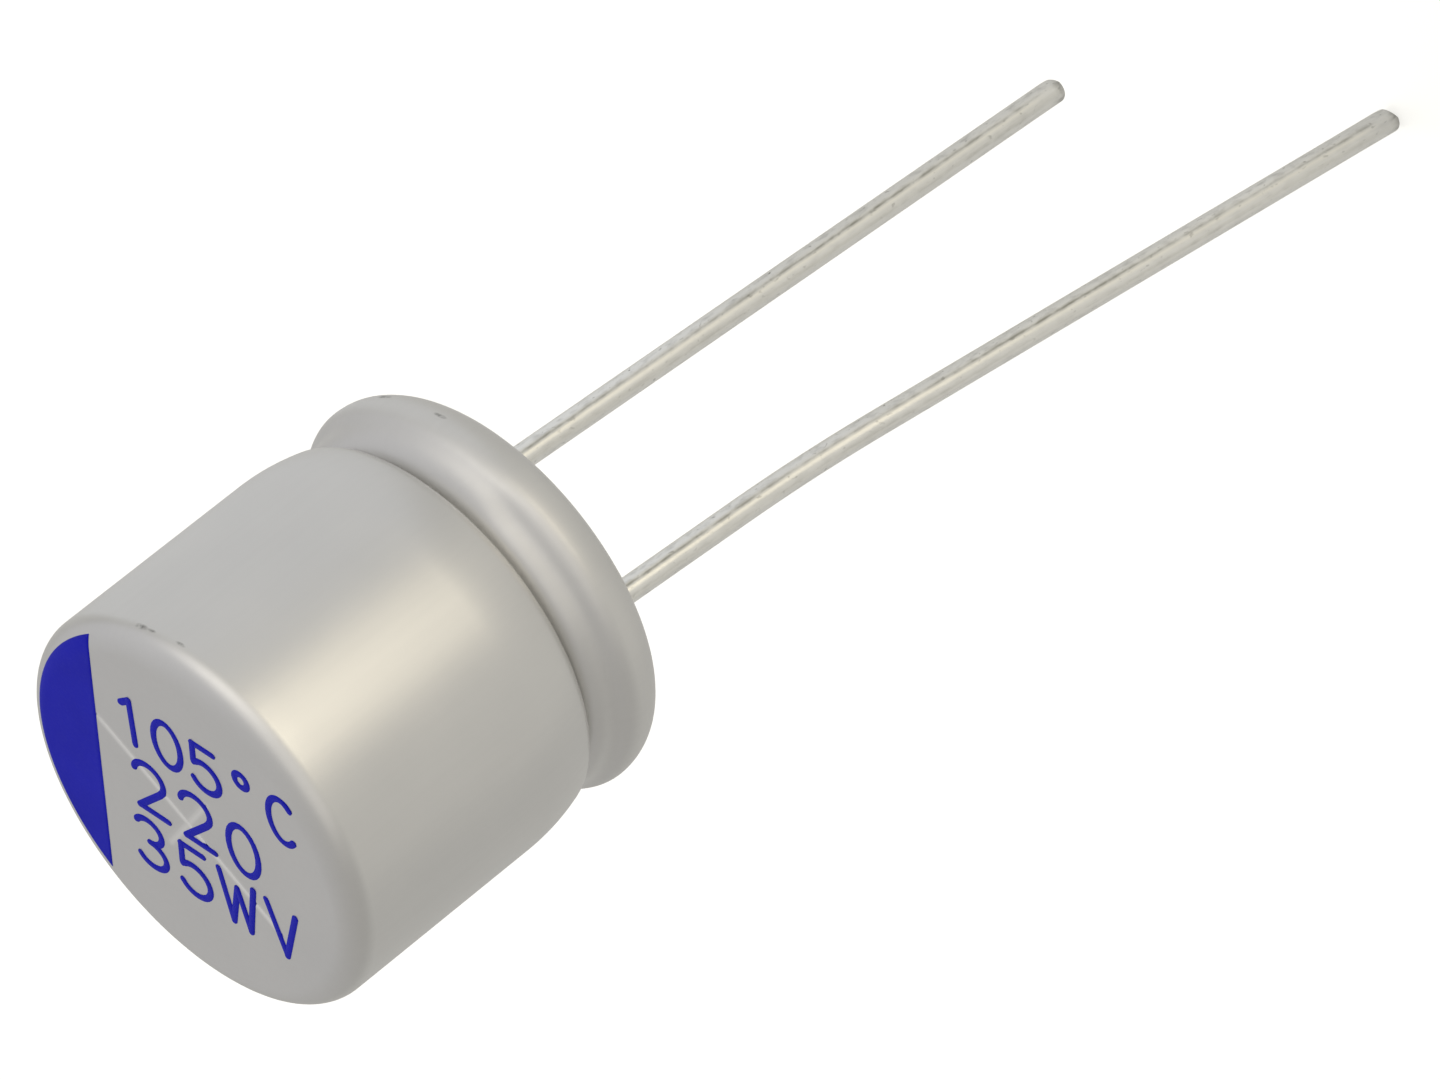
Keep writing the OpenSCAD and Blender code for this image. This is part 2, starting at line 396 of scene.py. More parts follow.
shoulder_at = np.array([can_radius - shoulder_radius, can_height - shoulder_radius])
nose_at = np.array([can_radius - groove_depth + nose_radius, groove_z])
neck_r = can_radius - sweep_radius + (sweep_radius - neck_radius) * way(sweep_turn)[0]
neck_rise = math.sqrt((neck_radius + nose_radius)**2 - (neck_r - nose_at[0])**2)
neck_at = np.array([neck_r, groove_z + neck_rise])
sweep_at = neck_at - (sweep_radius - neck_radius) * way(-sweep_turn)
lip_edge_at = nose_at - (lip_edge_radius + nose_radius) * way(lip_edge_turn)
lip_round_at = np.array([lip_radius - lip_round_radius, curl_radius])
curl_at = np.array([lip_radius - curl_radius, curl_radius])
curl_edge_at = curl_at - [land_width, 0]
neck_turn = turn_to(neck_at, nose_at)
lip_length = np.linalg.norm(lip_edge_at - lip_round_at)
taper_turn = turn_to(lip_round_at, lip_edge_at)
taper_turn = taper_turn - math.degrees(math.acos((lip_round_radius - lip_edge_radius) / lip_length))


def arc(centre, radius, start, end, count):
    """Points of an arc: the centre plus the radius times the cosine and sine of even angles."""
    angle = np.radians(np.linspace(start, end, count))
    return centre + radius * np.column_stack([np.cos(angle), np.sin(angle)])


def waist(depth, count):
    """The lip's tapered side: the line that touches its two arcs, with one period of a cosine as a dip."""
    share = np.linspace(0, 1, count)[:, None]
    low = lip_round_at + (lip_round_radius - depth) * way(taper_turn)
    high = lip_edge_at + (lip_edge_radius - depth) * way(taper_turn)
    dip = waist_depth * (1 - np.cos(2 * np.pi * share)) / 2
    return low + (high - low) * share - dip * way(taper_turn)


def side(depth, count):
    """The straight side between the sweep and the shoulder's arc."""
    height = np.linspace(sweep_at[1], shoulder_at[1], count)
    return np.column_stack([np.full(count, can_radius - depth), height])


def without_repeats(path):
    """The path without the points that lie where the one before lies."""
    moved = np.linalg.norm(np.diff(path, axis=0), axis=1) > same_place
    return path[np.concatenate([[True], moved])]


def wall(depth, fine):
    """Radius and height along the wall, from the curl's edge to the flat of the closed end."""
    stretches = [
        arc(curl_edge_at, curl_radius - depth, -90 - curl_turn, -90, 4 * fine),
        arc(curl_at, curl_radius - depth, -90, 0, 10 * fine),
        arc(lip_round_at, lip_round_radius - depth, 0, taper_turn, 5 * fine),
        waist(depth, 9 * fine),
        arc(lip_edge_at, lip_edge_radius - depth, taper_turn, lip_edge_turn, 5 * fine),
        arc(nose_at, nose_radius + depth, lip_edge_turn + 180, neck_turn + 180, 6 * fine),
        arc(neck_at, neck_radius - depth, neck_turn, -sweep_turn, 6 * fine),
        arc(sweep_at, sweep_radius - depth, -sweep_turn, 0, 6 * fine),
        side(depth, 6 * fine),
        arc(shoulder_at, shoulder_radius - depth, 0, 90, 8 * fine),
    ]
    return without_repeats(np.concatenate(stretches))


outer_wall, inner_wall = wall(0, 2), wall(can_wall, 1)
print("wall points outside and inside:", len(outer_wall), len(inner_wall))

# %% [markdown]
# ## The closed end and its vent score
# The flat end carries a cross of two scored lines that tear open if pressure builds up. A
# polar grid would need thousands of points to show a line a tenth of a millimetre wide. A
# square grid that is squeezed onto the disc keeps its two middle lines straight, so its lines
# are crowded only there, along the two arms of the score, and the V is cut into the heights.
# A narrow band beside the V gets a painted highlight, so the bright line is wider than the cut.

# %% A disc with two straight arms
flat_radius = can_radius - shoulder_radius
score_turn = math.radians(143)
score_length, score_arm_length = 6.2, 2.8
# half width of the cut, and of the band of painted highlight beside it
score_half, glint_half = 0.06, 0.1
score_slope = 0.4
score_fade = 0.25
short_cut_share = 0.35
cut_lines = np.array([0, 0.5, 1, 1.6, 3])
even_start, even_count = 0.06, 26


def disc_lines():
    """Grid lines from -1 to 1: crowded over the cut, in half widths of it, then even out to the edge."""
    half = np.concatenate([cut_lines * score_half / flat_radius, np.linspace(even_start, 1, even_count)])
    return np.concatenate([-half[:0:-1], half])


def arm_depth(along, off, length, half):
    """A shallow V of a half width across the arm that fades out at the arm's ends."""
    reach = np.clip((length / 2 - np.abs(along)) / score_fade, 0, 1)
    return score_slope * np.clip(half - np.abs(off), 0, None) * np.sqrt(reach)


def cross_depth(half):
    """The deeper of the two arms at each point, where the short arm is cut less deep."""
    long_arm = arm_depth(arm_x, arm_y, score_length, half)
    short_arm = arm_depth(arm_y, arm_x, score_arm_length, half)
    return np.maximum(long_arm, short_cut_share * short_arm)


def turned_by(turn, x, y):
    """Both coordinates after a turn round the axis: x cos - y sin, and x sin + y cos."""
    return x * math.cos(turn) - y * math.sin(turn), x * math.sin(turn) + y * math.cos(turn)


square_x, square_y = np.meshgrid(disc_lines(), disc_lines())
arm_x = flat_radius * square_x * np.sqrt(1 - square_y**2 / 2)
arm_y = flat_radius * square_y * np.sqrt(1 - square_x**2 / 2)
cut_depth = cross_depth(score_half)
# how much painted highlight lies on each point of the end, strongest in the cut
glint_band = np.sqrt(cross_depth(glint_half) / (score_slope * glint_half))
disc_x, disc_y = turned_by(score_turn, arm_x, arm_y)
print("disc grid:", square_x.shape, "deepest cut in mm:", round(float(cut_depth.max()), 3))

# %% [markdown]
# ## One closed shell
# The wall is turned round the axis with its columns at the angles of the disc's own edge
# points, so wall and disc share their seam. A rolled lip is never perfectly round: a few slow
# waves of some micrometres, only inwards, let its highlights break up as they do in the
# photograph, and over one sector the roller left the lip's waist filled. Outside, inside and
# the sheet's cut edge together make one closed shell.

# %% Build the can
wave_size, wave_top, wave_fade = 0.016, groove_z + 0.9, 0.25
lip_waves = [
    # waves in a turn, start in radians, slant in radians for each millimetre up, share of the size
    (3, 0.7, 0.9, 1),
    (5, 2.1, -1.4, 1),
    (9, -1.1, 2.3, 0.7),
    (17, 0, 3, 0.4),
]
waist_z, waist_half, waist_filled = 1.59, 0.29, 0.12
fill_start, fill_start_fade = 244, 5
fill_end, fill_end_fade = 302, 15


def hand_waves(angle, height):
    """Depths in millimetres on the rolled lip and groove: a sum of sines times a smooth step in height."""
    rolled = 1 / (1 + np.exp((height - wave_top) / wave_fade))
    waves = sum(share * np.sin(count * angle + start + slant * height)
                for count, start, slant, share in lip_waves)
    most = sum(share for count, start, slant, share in lip_waves)
    return wave_size * rolled * (waves + most) / (2 * most)


def uneven_waist(angle, height):
    """The filled sector of the lip's waist: a bell in height times two smooth steps round the axis."""
    turn = np.degrees(angle) % 360
    begun = 1 + np.tanh((turn - fill_start) / fill_start_fade)
    ended = 1 - np.tanh((turn - fill_end) / fill_end_fade)
    return -waist_filled * np.exp(-((height - waist_z) / waist_half)**2) * begun * ended / 4


def turned_wall(path, angles, waves):
    """Points of a profile turned round the axis: radius times cosine and sine, and the height."""
    angle, height = np.meshgrid(angles, path[:, 1])
    radius = path[:, :1] - waves * (hand_waves(angle, height) + uneven_waist(angle, height))
    return np.stack([radius * np.cos(angle), radius * np.sin(angle), height], axis=-1)


def can_shell():
    """All points and quads of the can: outer wall and end, inner wall and end, joined at the mouth."""
    count = disc_x.size
    disc = np.arange(count).reshape(disc_x.shape)
    edge = rim_of(disc)
    angles = np.arctan2(disc_y, disc_x).ravel()[edge]
    outer_end = np.stack([disc_x, disc_y, can_height - cut_depth], axis=-1).reshape(-1, 3)
    ceiling = np.full_like(disc_x, can_height - can_wall)
    inner_end = np.stack([disc_x, disc_y, ceiling], axis=-1).reshape(-1, 3)
    outer = turned_wall(outer_wall[:-1], angles, 1)
    inner = turned_wall(inner_wall[:-1], angles, 0)
    outer_rings = 2 * count + np.arange(outer[..., 0].size).reshape(outer.shape[:2])
    inner_rings = 2 * count + outer_rings.size + np.arange(inner[..., 0].size).reshape(inner.shape[:2])
    outside = np.concatenate([outer_rings, edge[None]])
    inside = np.concatenate([inner_rings, edge[None] + count])
    mouth = np.stack([inner_rings[0], outer_rings[0]])
    quads = [sheet(disc), sheet(disc + count)[:, ::-1], bands(outside), bands(inside)[:, ::-1], bands(mouth)]
    points = [outer_end, inner_end, outer.reshape(-1, 3), inner.reshape(-1, 3)]
    return np.concatenate(points), np.concatenate(quads)


shell_points, shell_quads = can_shell()
can = make_piece("can", shell_points, shell_quads, aluminium, "drawn_aluminium", ["case"])
# the painted highlight along the cut, carried by the mesh for the finish
bright_cut = np.zeros(len(shell_points))
bright_cut[:glint_band.size] = glint_band.ravel()
point_values(can, "score", bright_cut)

# %% [markdown]
# ## Blue ink
# The negative side is marked with a field of blue ink, and the ratings are stamped in the
# same ink. Printed ink is a dull coloured film: no metal, a soft gloss, and a colour that is
# a little uneven where the pad pressed less.

# %% Blue ink


def blue_ink():
    """A dull film: its blue goes from thick to thin in clouds, and is thinnest in fine pores."""
    material, f = new_finish("blue_ink")
    thick, thin, thinnest = (0.003, 0.004, 0.31, 1), (0.007, 0.008, 0.39, 1), (0.03, 0.03, 0.47, 1)
    where = f.place()
    pressed = f.noise(where, 900, 3)
    pores = f.noise(where, 14000)
    film = f.mixed(pressed, thick, thin)
    film = f.mixed((pores * 2 - 1.25).clamped(), film, thinnest)
    f.surface(Base_Color=film, Roughness=0.42 + 0.16 * pores, Specular_IOR_Level=0.1,
              Normal=f.bump(0.6 * pores + 0.4 * pressed, 0.003 * MM))
    return material


ink = blue_ink()
print("finish:", ink.name)

# %% [markdown]
# ## The polarity field
# The field covers the end between a straight edge and the rim, and runs part of the way over
# the shoulder. The printing pad sat a little off the can's middle, and it drags the straight
# edge outwards where that leaves the flat. The field could be a patch of the shell's own faces,
# but its edge would then be as coarse as they are. So it is one grid: one parameter runs along
# the straight edge, the other from that edge out to the rim, and the height follows the can's
# own end and shoulder. A second grid a hair lower, inside the metal, closes it to a thin film.

# %% The polarity field
mark_edge, mark_reach, mark_turn = 2.655, 4.62, math.radians(-6.9)
pad_x, pad_y, pad_drag = -0.09, -0.26, 0.12
film_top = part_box("polarity_mark")[1].z / MM - can_height
film_root = 0.01
film_round, film_least = 0.05, 0.05
mark_rows, mark_columns, corner_share = 81, 41, 0.995


def end_height(radius, lift):
    """Height of the closed end at a radius: the flat, then the shoulder's arc, lifted along the normal."""
    drop = np.clip(radius - flat_radius, 0, None)
    bend = shoulder_radius + lift
    return shoulder_at[1] + np.sqrt(np.clip(bend**2 - drop**2, 0, None))


def polarity_field():
    """Rows run along the straight edge, short of its corners; columns run from that edge out to the rim."""
    first_swing = -math.acos((mark_edge + pad_drag - pad_x) / mark_reach)
    last_swing = math.acos((mark_edge - pad_x) / mark_reach)
    swing = corner_share * np.linspace(first_swing, last_swing, mark_rows)[:, None]
    share = np.linspace(0, 1, mark_columns)[None, :]
    rim_x = pad_x + mark_reach * np.cos(swing)
    rim_y = pad_y + mark_reach * np.sin(swing)
    off_flat = -math.sqrt(flat_radius**2 - mark_edge**2)
    past_flat = np.clip((rim_y - off_flat) / (rim_y[0] - off_flat), 0, 1)
    edge_x = mark_edge + pad_drag * past_flat**2
    far = edge_x + share * (rim_x - edge_x)
    to_edge = np.minimum(share, 1 - share) * (rim_x - edge_x)
    lift = film_top * np.sqrt(np.clip(to_edge / film_round, film_least, 1))
    turned_x, turned_y = turned_by(mark_turn, far, rim_y)
    radius = np.hypot(turned_x, turned_y)
    upper = np.stack([turned_x, turned_y, end_height(radius, lift)], axis=-1)
    lower = np.stack([turned_x, turned_y, end_height(radius, -film_root)], axis=-1)
    return slab(upper, lower)


make_piece("polarity_field", *polarity_field(), ink, "blue_ink", ["polarity_mark"])

# %% [markdown]
# ## Stamped ratings
# The stamp uses plain one-stroke figures: a temperature, a value and a working voltage. Text
# objects would bring a typeface with serifs and corners, and ink from a stamp has neither, so
# each stroke is a path of lines and arcs, and a flat round-ended ribbon is carried along it.
# The figures are drawn one unit high.

# %% Strokes of the figures
figure_w = 0.6
leg_points, oval_points = 6, 28


def line(*corners):
    """A path through corners, with a few points on each leg."""
    legs = [np.linspace(a, b, leg_points) for a, b in zip(corners[:-1], corners[1:])]
    return np.concatenate(legs)


def oval(x, y, half_w, half_h, start, end):
    """Part of an oval: its centre plus its half sizes times cosine and sine."""
    angle = np.radians(np.linspace(start, end, oval_points))
    return np.column_stack([x + half_w * np.cos(angle), y + half_h * np.sin(angle)])


middle = figure_w / 2
FIGURES = {
    "0": [oval(middle, 0.5, middle, 0.5, 90, 450)],
    "1": [line((0.16, 0.84), (middle + 0.06, 1)), line((middle + 0.06, 1), (middle + 0.06, 0))],
    "2": [np.concatenate([oval(middle, 0.72, middle, 0.28, 165, -40), line((0.5, 0.5), (0.02, 0))]),
          line((0.02, 0), (figure_w, 0))],
    "3": [oval(middle, 0.76, 0.27, 0.24, 150, -90), oval(middle, 0.26, middle, 0.26, 90, -150)],
    "5": [line((0.54, 1), (0.08, 1)), line((0.08, 1), (0.05, 0.56)),
          oval(0.28, 0.32, 0.32, 0.32, 128, -150)],
    "C": [oval(middle + 0.02, 0.5, middle, 0.5, 48, 312)],
    "V": [line((0, 1), (middle, 0)), line((middle, 0), (figure_w, 1))],
    "W": [line((-0.06, 1), (0.12, 0)), line((0.12, 0), (middle, 0.8)),
          line((middle, 0.8), (0.48, 0)), line((0.48, 0), (0.66, 1))],
    "o": [oval(middle, 0.84, 0.14, 0.15, 90, 450)],
}
print("figures:", "".join(FIGURES))

# %% [markdown]
# ## A ribbon for each stroke
# The path is taken again at even steps, its ends are lengthened by half the stroke's width,
# and the ribbon narrows there like a half circle. A path that ends where it began, such as a
# nought, becomes a flat ring instead, so that no two faces lie on each other. Rows of the stamp
# lie one under the other along a reading direction, each with its own height and pitch, as on
# the real end.

# %% Stamp the ratings
stroke_half = 0.092
stroke_step, least_points = 0.02, 8
stroke_span = np.array([-1, -0.8, 0, 0.8, 1])
stroke_crown = np.array([0.3, 1, 1, 1, 0.3])
tip_rows, tip_share = np.array([1, 0.9, 0.7, 0.4]), 0.98
first_layer, layer_step = 0.7, 0.1
reading_turn = math.radians(176.5)
stamp_rows = [
    # text, start of the row along the reading direction, base line, height, pitch
    ("105oC", -1.86, 1.54, 1.34, 1.15),
    ("220", -1.56, -0.42, 1.48, 1.42),
    ("35WV", -1.84, -2.3, 1.46, 1.36),
]


def even_path(path, looped):
    """The path at even steps of its own length, with open ends lengthened by half a stroke."""
    path = without_repeats(path)
    length = np.concatenate([[0], np.cumsum(np.linalg.norm(np.diff(path, axis=0), axis=1))])
    count = max(least_points, int(length[-1] / stroke_step))
    at = np.linspace(0, length[-1], count, endpoint=not looped)
    even = np.column_stack([np.interp(at, length, path[:, k]) for k in (0, 1)])
    if looped:
        return even
    ends = stroke_half * tip_rows[:, None]
    first = even[0] - ends * (even[1] - even[0]) / np.linalg.norm(even[1] - even[0])
    last = even[-1] + ends[::-1] * (even[-1] - even[-2]) / np.linalg.norm(even[-1] - even[-2])
    return np.concatenate([first, even, last])


def ribbon(path, looped, lift):
    """A flat band along a path: points to both sides of it, pulled in to half circles at open ends."""
    line_points = even_path(path, looped)
    half = np.full(len(line_points), stroke_half)
    if looped:
        ahead = np.roll(line_points, -1, axis=0) - np.roll(line_points, 1, axis=0)
    else:
        ahead = np.gradient(line_points, axis=0)
        tip = stroke_half * np.sqrt(1 - (tip_share * tip_rows)**2)
        half[:len(tip)] = tip
        half[-len(tip):] = tip[::-1]
    ahead = ahead / np.linalg.norm(ahead, axis=1, keepdims=True)
    aside = np.column_stack([ahead[:, 1], -ahead[:, 0]])
    flat = line_points[:, None, :] + half[:, None, None] * stroke_span[None, :, None] * aside[:, None, :]
    turned_x, turned_y = turned_by(reading_turn, flat[..., 0], flat[..., 1])
    upper = np.stack([turned_x, turned_y, can_height + lift * stroke_crown + 0 * turned_x], axis=-1)
    lower = np.stack([turned_x, turned_y, np.full_like(turned_x, can_height - film_root)], axis=-1)
    return upper, lower


def stamp():
    """Every stroke of every row as a thin slab, each a little higher than the last, in one mesh."""
    points, quads, count = [], [], 0
    for text, start, base, height, pitch in stamp_rows:
        for place, figure in enumerate(text):
            for order, stroke in enumerate(FIGURES[figure]):
                path = stroke * height + [start + place * pitch, base]
                looped = bool(np.allclose(path[0], path[-1]))
                upper, lower = ribbon(path, looped, film_top * (first_layer + layer_step * order))
                more, faces = slab(upper, lower, count, looped)
                points.append(more)
                quads.append(faces)
                count += len(more)
    return np.concatenate(points), np.concatenate(quads)


make_piece("stamped_ratings", *stamp(), ink, "blue_ink")

# %% [markdown]
# ## Tinned wire
# The leads are steel or copper wire with a coat of tin. The die leaves lines along the wire,
# darkened with a painted dark reflection; the feeder's jaws wear strips beside them, which also
# carry a painted cool sheen; a narrow strip holds a painted highlight; handling leaves specks,
# and the cutter bares the ends. The wire bends, so object coordinates would slide off it: the
# mesh carries its own coordinates, round the wire and along it, and the finish reads those. It
# also carries where the marks are.

# %% Tinned wire


def tinned_wire():
    """Bright metal: blotches, drawn lines with a painted dark reflection, worn strips with stains and a
    painted cool sheen, a painted highlight strip, specks and cut ends.
    """
    material, f = new_finish("tinned_wire")
    pale, bright, lined = (0.88, 0.87, 0.815, 1), (0.965, 0.955, 0.915, 1), (0.74, 0.725, 0.65, 1)
    # of these colours, the first is a painted cool sheen and the last a painted highlight
    painted_cool_sheen, stain, painted_highlight = (0.94, 0.945, 0.94, 1), (0.5, 0.495, 0.47, 1), (0.99, 0.965, 0.88, 1)
    # the first colour is a painted dark reflection for the die lines
    painted_dark_reflection, grime = (0.33, 0.32, 0.27, 1), (0.2, 0.195, 0.17, 1)
    where = f.stored("wire", "Vector")
    drawn = f.stored("drawn")
    highlight_strip = f.stored("highlight_strip")
    wear_and_sheen = f.stored("wear_and_sheen")
    sheared = f.stored("sheared")
    lines = f.noise(f.stretched(where, (1, 1, 0.03)), 9, 3)
    blotches = f.noise(f.stretched(where, (1, 1, 0.3)), 2.6)
    specks = f.noise(f.stretched(where, (1, 1, 0.6)), 10, 1)
    mottle = f.noise(f.stretched(where, (1, 1, 0.4)), 7, 3)
    dark = ((specks - 0.66) * 8).clamped() * (0.12 + 0.88 * wear_and_sheen)
    stained = ((mottle - 0.48) * 5).clamped()
    skin = f.mixed(blotches, pale, bright)
    skin = f.mixed((lines - 0.35).clamped(), skin, lined)
    # painted cool sheen on the strips beside the die lines, which also hold real wear
    skin = f.mixed(0.5 * wear_and_sheen, skin, painted_cool_sheen)
    skin = f.mixed(0.5 * wear_and_sheen * stained, skin, stain)
    # painted highlight: a narrow bright strip at one place round the wire
    skin = f.mixed(0.8 * highlight_strip, skin, painted_highlight)
    # painted dark reflection along the die lines
    skin = f.mixed(drawn * (2.2 * mottle - 0.35).clamped(), skin, painted_dark_reflection)
    skin = f.mixed(0.75 * dark, skin, grime)
    skin = f.mixed(sheared * (0.45 + 0.5 * stained), skin, grime)
    rough = 0.2 + 0.12 * lines + 0.12 * blotches + 0.2 * dark
    f.surface(Base_Color=skin, Metallic=1, Roughness=rough,
              Normal=f.bump(0.6 * lines + 0.4 * specks, 0.003 * MM))
    return material


tin = tinned_wire()
print("finish:", tin.name)

# %% [markdown]
# ## The leads
# Each lead leaves the bung straight, leans to the positive side and runs on; the longer one
# bows a second time. A curve object with handles could be bent by eye. Here its direction is a
# sum of ramps along its length, one for each bend, and adding up the cosines and sines of that
# direction gives the centre line, so each bend keeps its radius and its turn.

# %% The centre lines
lead_radius = mounts["anode_pin"]["dims"]["r_mm"]
lead_pitch, longest_lead = 5, 30
boss_z, straight_run = 1.0516, 0.75
lean, lean_radius = math.radians(4.45), 8
bow, bow_radius, bow_start = math.radians(5.3), 43, 4


def tip_height(mount):
    """Height of a lead's tip: the middle of its straight end plus half its length along its axis."""
    pin = mounts[mount]
    return pin["pos_m"][2] / MM + pin["axis"][2] * pin["dims"]["length_mm"] / 2


def centre_line(start_x, bends, end_z, step=0.1):
    """Centre points and headings at even steps; bends are (start, radius, turn) along the length."""
    length = np.arange(0, longest_lead, step)
    turn = sum(angle * np.clip((length - start) / (radius * angle), 0, 1) for start, radius, angle in bends)
    x = start_x - np.concatenate([[0], np.cumsum(np.sin((turn[1:] + turn[:-1]) / 2) * step)])
    z = boss_z - np.concatenate([[0], np.cumsum(np.cos((turn[1:] + turn[:-1]) / 2) * step)])
    kept = z > end_z
    last = (z[kept][-1] - end_z) / math.cos(turn[kept][-1])
    tip = [x[kept][-1] - last * math.sin(turn[kept][-1]), end_z]
    return (np.vstack([np.column_stack([x[kept], z[kept]]), tip]),
            np.append(turn[kept], turn[kept][-1]), np.append(length[kept], length[kept][-1] + last))


first_bend = (straight_run, lean_radius, lean)
second_bend = (straight_run + lean_radius * lean + bow_start, bow_radius, bow)
anode_line = centre_line(-lead_pitch / 2, [first_bend, second_bend], tip_height("anode_pin"))
cathode_line = centre_line(lead_pitch / 2, [first_bend], tip_height("cathode_pin"))
print("lead lengths in mm:", round(float(anode_line[2][-1]), 2), round(float(cathode_line[2][-1]), 2))

# %% [markdown]
# ## Marks along the wire
# Each die line is a shallow groove at one place round the wire, which comes and goes along it.
# A bell curve over the angle gives its section. The same bells say where the jaws wore strips
# beside the lines, and where a painted cool sheen lies, so that the finish and the shape agree.

# %% Marks of the die and the jaws
die_lines = [
    # heading round the wire in degrees from the middle plane, width, depth
    (247, 7, 0.012),
    (196, 8, 0.004),
    (330, 9, 0.005),
    (60, 6, 0.008),
    (130, 8, 0.006),
]
deepest_line = max(deep for turn, width, deep in die_lines)
line_swell, first_pace, pace_step = 0.25, 0.55, 0.2
# where the worn strips, which also carry a painted cool sheen, lie beside each die line
strip_turn, strip_width = 28, 26
cut_clear = 0.5


def bell(angle, turn, width):
    """A bell curve round the wire: 1 at a turn, falling off over a width, both in degrees."""
    off = (np.degrees(angle) - turn + 180) % 360 - 180
    return np.exp(-(off / width)**2)


def clear_of_cut(to_end):
    """1 along the wire, falling to 0 at a small distance from its cut end."""
    return np.clip((to_end - cut_clear) / cut_clear, 0, 1)


def die_marks(angle, run, to_end):
    """Depth of the lines that the die pressed in: a bell for each, coming and going, gone before the cut."""
    depth = np.zeros_like(angle)
    for order, (turn, width, deep) in enumerate(die_lines):
        swell = 1 - line_swell + line_swell * np.sin(run * (first_pace + pace_step * order) + order)
        depth = depth + deep * swell * bell(angle, turn, width)
    return depth * clear_of_cut(to_end)


def wear_and_sheen_strips(angle):
    """Where the feeder's jaws rubbed and a painted cool sheen lies: a band beside each die line, as strong as
    the line is deep.
    """
    strips = [deep / deepest_line * bell(angle, turn + strip_turn, strip_width)
              for turn, width, deep in die_lines]
    return np.clip(sum(strips), 0, 1)


print("die lines:", len(die_lines), "deepest in mm:", deepest_line)

# %% [markdown]
# ## Wire round the centre lines
# A circle is carried along each centre line. The cutter pinches the end before it parts, so
# the edge is rounded over on one side and the end face slants. The rounding is a quarter of an
# oval; the slant moves each point along the wire by its place across it. The rows end in a
# small ring that one quad strip closes. Both leads come from one spool, each from its own place
# on it, so that their specks differ.

# %% Build the wires
around = 48
edge_round, end_rows = 0.13, 8
face_start, face_end, face_dish = 0.85, 0.02, 0.03
least_marked = 0.5
pinch_reach, pinch_squeeze = 0.45, 0.1
# where the painted highlight strip runs round the wire, and how wide it is
highlight_turn, highlight_width = 233, 9
cut_reach, burr_width = 0.26, 28


def wire_rows(lengths):
    """Place along the wire and share of the radius for each ring: wire, rounded edge and end face."""
    quarter = np.linspace(0, np.pi / 2, end_rows)
    edge_along = lengths[-1] - edge_round + edge_round * np.sin(quarter)
    edge_share = 1 - edge_round / lead_radius * (1 - np.cos(quarter))
    face_share = edge_share[-1] * np.linspace(face_start, face_end, end_rows)
    face_along = lengths[-1] - face_dish * (1 - face_share / edge_share[-1])
    body = lengths[lengths < lengths[-1] - edge_round]
    along = np.concatenate([[0], body, edge_along, face_along])
    share = np.concatenate([[face_end], np.ones(len(body)), edge_share, face_share])
    return along, share[:, None]


def wire(centre, headings, lengths, shear, shear_turn):
    """A circle carried along the centre line, with die marks, and with its cut end sheared to one side."""
    along, share = wire_rows(lengths)
    angle, run = np.meshgrid(np.linspace(0, 2 * np.pi, around, endpoint=False), along)
    pressed = die_marks(angle, run, lengths[-1] - run) * (share > least_marked)
    radius = lead_radius * share - pressed
    near_end = np.clip((run - lengths[-1] + pinch_reach) / pinch_reach, 0, 1)**2
    slant = np.clip(np.cos(angle - shear_turn), 0, 1)
    run = run - shear * near_end * slant * share
    sideways = radius * (1 - pinch_squeeze * near_end * slant) * np.cos(angle)
    outwards = radius * (1 - pinch_squeeze * near_end * slant) * np.sin(angle)
    turn = np.interp(run, lengths, headings)
    x = np.interp(run, lengths, centre[:, 0]) + sideways * np.cos(turn)
    z = np.interp(run, lengths, centre[:, 1]) - sideways * np.sin(turn)
    points = np.stack([x, outwards, z], axis=-1)
    rings = np.arange(angle.size).reshape(angle.shape)
    half = np.arange(around // 2 - 1)
    strip = np.column_stack([half, half + 1, around - 2 - half, around - 1 - half])
    quads = np.concatenate([bands(rings)[:, ::-1], rings[0][strip], rings[-1][strip][:, ::-1]])
    own = np.stack([lead_radius * np.cos(angle), lead_radius * np.sin(angle), run], axis=-1)
    return points.reshape(-1, 3), quads, own.reshape(-1, 3), angle.ravel(), run.ravel()


def make_wire(name, node, line_of, shear, shear_turn, spool_place):
    """One lead with its own coordinates, cut from a place on the spool, standing for a CAD node."""
    points, quads, own, angle, run = wire(*line_of, shear, math.radians(shear_turn))
    to_end = line_of[2][-1] - run
    piece = make_piece(name, points, quads, tin, "tinned_wire", [node])
    point_values(piece, "wire", own + [0, 0, spool_place])
    # the die lines, which also carry the painted dark reflection
    point_values(piece, "drawn", die_marks(angle, run, to_end) / deepest_line)
    # the painted highlight strip, then the wear and painted cool sheen beside the die lines
    point_values(piece, "highlight_strip", bell(angle, highlight_turn, highlight_width) * clear_of_cut(to_end))
    point_values(piece, "wear_and_sheen", wear_and_sheen_strips(angle))
    at_cut = np.clip(1 - to_end / cut_reach, 0, 1)
    burr = bell(angle, shear_turn + 180, burr_width) * np.clip(1 - to_end / (2 * cut_reach), 0, 1)
    point_values(piece, "sheared", np.maximum(at_cut, burr))


make_wire("anode_wire", "anode_lead", anode_line, shear=0.12, shear_turn=-60, spool_place=0)
make_wire("cathode_wire", "cathode_lead", cathode_line, shear=0.1, shear_turn=-20, spool_place=43)

# %% [markdown]
# ## Finishes for the pieces inside
# The bung, the terminals and the roll keep their solids, because they are hidden once the can
# is rolled shut. They still get their own finishes, for anyone who opens the part: moulded
# rubber, pressed aluminium, the edges of wound paper and foil, and clear amber tape.

# %% Rubber, terminals, winding and tape


